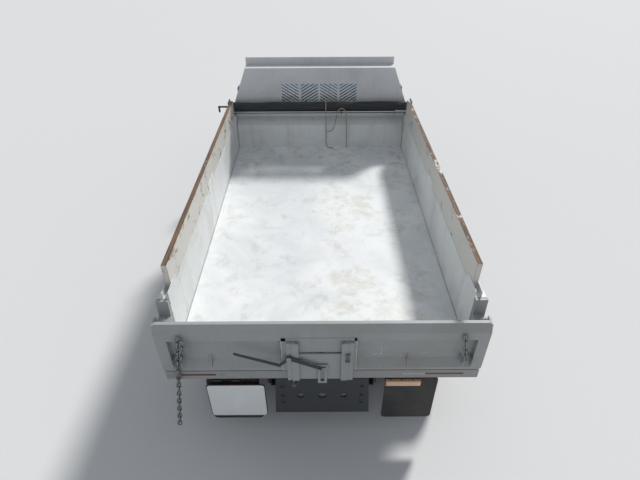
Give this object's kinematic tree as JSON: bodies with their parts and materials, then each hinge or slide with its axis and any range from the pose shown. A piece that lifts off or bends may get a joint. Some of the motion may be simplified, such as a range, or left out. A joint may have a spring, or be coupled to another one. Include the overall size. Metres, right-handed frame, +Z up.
{
  "type": "dump truck",
  "caption": "White drop-side dump truck with tilting bed, top-hung tailgate, chute door and blue conventional cab",
  "frame": {"origin": "on the ground under the middle of the truck's length, on its centre line", "axes": "+X is the truck's right side, +Y points forward from tailgate to bumper, +Z is up"},
  "size_m": [2.63, 7.038, 2.28],
  "materials": {
    "bed_paint": "worn white enamel, scuffed and streaked",
    "cab_paint": "gloss blue enamel",
    "chassis_paint": "satin black chassis enamel",
    "steel": "bare ground steel",
    "aluminium": "brushed sheet",
    "chrome": "polished plate",
    "tyre": "matt black road tyre",
    "wheel_paint": "white wheel enamel",
    "rubber": "matt black rubber sheet",
    "glass": "clear laminated glass",
    "lamp": "clear moulded lens",
    "trim": "grained moulding",
    "cloth": "woven seat cloth",
    "tarp": "black open mesh",
    "rope": "dark braided cord",
    "board": "painted plank, worn to bare wood on its edges"
  },
  "bodies": {
    "chassis": {"cab_back_panel": "cab_paint", "cab_firewall": "cab_paint", "cab_floor": "cab_paint", "cab_glass": "glass", "cab_pillars": "cab_paint", "cab_roof": "cab_paint", "chassis_tanks": "aluminium", "dashboard": "trim", "driveshaft": "chassis_paint", "engine": "chassis_paint", "exhaust": "steel", "frame_crossmembers": "chassis_paint", "frame_rails": "chassis_paint", "front_axle": "chassis_paint", "front_bumper": "chrome", "front_fenders": "cab_paint", "grille": "trim", "headlamps": "lamp", "hitch_plate": "chassis_paint", "leaf_springs": "chassis_paint", "marker_lamps": "lamp", "mud_flaps": "rubber", "rear_axle": "chassis_paint", "seat": "cloth"},
    "hood": {"hood": "cab_paint"},
    "door_left": {"door_left": "cab_paint", "door_glass_left": "glass"},
    "door_right": {"door_right": "cab_paint", "door_glass_right": "glass"},
    "steer_left": {"knuckle_left": "chassis_paint"},
    "steer_right": {"knuckle_right": "chassis_paint"},
    "tie_rod": {"tie_rod": "chassis_paint"},
    "wheel_front_left": {"front_tyre_left": "tyre", "front_wheel_left": "wheel_paint"},
    "wheel_front_right": {"front_tyre_right": "tyre", "front_wheel_right": "wheel_paint"},
    "wheel_rear_left": {"rear_tyres_left": "tyre", "rear_wheels_left": "wheel_paint"},
    "wheel_rear_right": {"rear_tyres_right": "tyre", "rear_wheels_right": "wheel_paint"},
    "bed": {"bed_floor": "bed_paint", "bed_rear_frame": "bed_paint", "bed_rub_rails": "bed_paint", "bed_sills": "bed_paint", "cab_shield": "bed_paint", "headboard": "bed_paint", "tarp_cord_left": "rope", "tarp_cord_right": "rope", "tarp_housing": "chassis_paint", "tarp_roll": "tarp"},
    "side_left": {"side_wall_left": "bed_paint", "side_board_left": "board"},
    "side_right": {"side_wall_right": "bed_paint", "side_board_right": "board"},
    "tailgate": {"gate_chains": "steel", "tailgate": "bed_paint"},
    "chute_door": {"chute_door": "bed_paint"},
    "chute_lever": {"chute_lever": "bed_paint"},
    "hoist_cylinder": {"hoist_cylinder": "chassis_paint"},
    "hoist_rod": {"hoist_rod": "steel"}
  },
  "joints": [
    {"name": "bed_tilt", "type": "hinge", "parent": "chassis", "child": "bed", "pos_m": [0, -3.31, 0.905], "axis": [1, 0, 0], "range_deg": [0, 50]},
    {"name": "hoist_swing", "type": "hinge", "parent": "chassis", "child": "hoist_cylinder", "pos_m": [0, -2.03, 0.76], "axis": [1, 0, 0], "range_deg": [0, 72.03]},
    {"name": "hoist_stroke", "type": "slide", "parent": "hoist_cylinder", "child": "hoist_rod", "axis": [0, 0.9812, 0.1931], "range_m": [0, 0.8944]},
    {"name": "tailgate_swing", "type": "hinge", "parent": "bed", "child": "tailgate", "pos_m": [0, -3.35, 1.475], "axis": [-1, 0, 0], "range_deg": [0, 85]},
    {"name": "chute_slide", "type": "slide", "parent": "tailgate", "child": "chute_door", "axis": [0, 0, 1], "range_m": [0, 0.15]},
    {"name": "lever_swing", "type": "hinge", "parent": "tailgate", "child": "chute_lever", "pos_m": [-0.248, -3.5, 1.233], "axis": [0, -1, 0], "range_deg": [0, 34]},
    {"name": "side_left_drop", "type": "hinge", "parent": "bed", "child": "side_left", "pos_m": [-1.215, 0, 1.075], "axis": [0, -1, 0], "range_deg": [0, 180]},
    {"name": "side_right_drop", "type": "hinge", "parent": "bed", "child": "side_right", "pos_m": [1.215, 0, 1.075], "axis": [0, 1, 0], "range_deg": [0, 180]},
    {"name": "door_left_swing", "type": "hinge", "parent": "chassis", "child": "door_left", "pos_m": [-1.012, 1.604, 1.2], "axis": [0, 0, -1], "range_deg": [0, 65]},
    {"name": "door_right_swing", "type": "hinge", "parent": "chassis", "child": "door_right", "pos_m": [1.012, 1.604, 1.2], "axis": [0, 0, 1], "range_deg": [0, 65]},
    {"name": "hood_lift", "type": "hinge", "parent": "chassis", "child": "hood", "pos_m": [0, 1.742, 1.402], "axis": [1, 0, 0], "range_deg": [0, 50]},
    {"name": "steer_left", "type": "hinge", "parent": "chassis", "child": "steer_left", "pos_m": [-0.79, 2.56, 0.405], "axis": [0, 0, 1], "range_deg": [-32, 32]},
    {"name": "steer_right", "type": "hinge", "parent": "chassis", "child": "steer_right", "pos_m": [0.79, 2.56, 0.405], "axis": [0, 0, 1], "range_deg": [-32, 32]},
    {"name": "tie_rod_slide", "type": "slide", "parent": "chassis", "child": "tie_rod", "axis": [1, 0, 0], "range_m": [-0.0884, 0.0884]},
    {"name": "wheel_front_left_spin", "type": "hinge", "parent": "steer_left", "child": "wheel_front_left", "pos_m": [-0.94, 2.56, 0.405], "axis": [-1, 0, 0], "continuous": true},
    {"name": "wheel_front_right_spin", "type": "hinge", "parent": "steer_right", "child": "wheel_front_right", "pos_m": [0.94, 2.56, 0.405], "axis": [-1, 0, 0], "continuous": true},
    {"name": "wheel_rear_left_spin", "type": "hinge", "parent": "chassis", "child": "wheel_rear_left", "pos_m": [-0.928, -2.545, 0.405], "axis": [-1, 0, 0], "continuous": true},
    {"name": "wheel_rear_right_spin", "type": "hinge", "parent": "chassis", "child": "wheel_rear_right", "pos_m": [0.928, -2.545, 0.405], "axis": [-1, 0, 0], "continuous": true}
  ],
  "couplings": [
    {"joint": "hoist_swing", "follows": "bed_tilt", "ratio": 1.4306},
    {"joint": "hoist_stroke", "follows": "bed_tilt", "m_per_rad": 1.0192},
    {"joint": "lever_swing", "follows": "chute_slide", "rad_per_m": 3.9212},
    {"joint": "steer_right", "follows": "steer_left", "ratio": 1},
    {"joint": "tie_rod_slide", "follows": "steer_left", "m_per_rad": 0.15655}
  ]
}
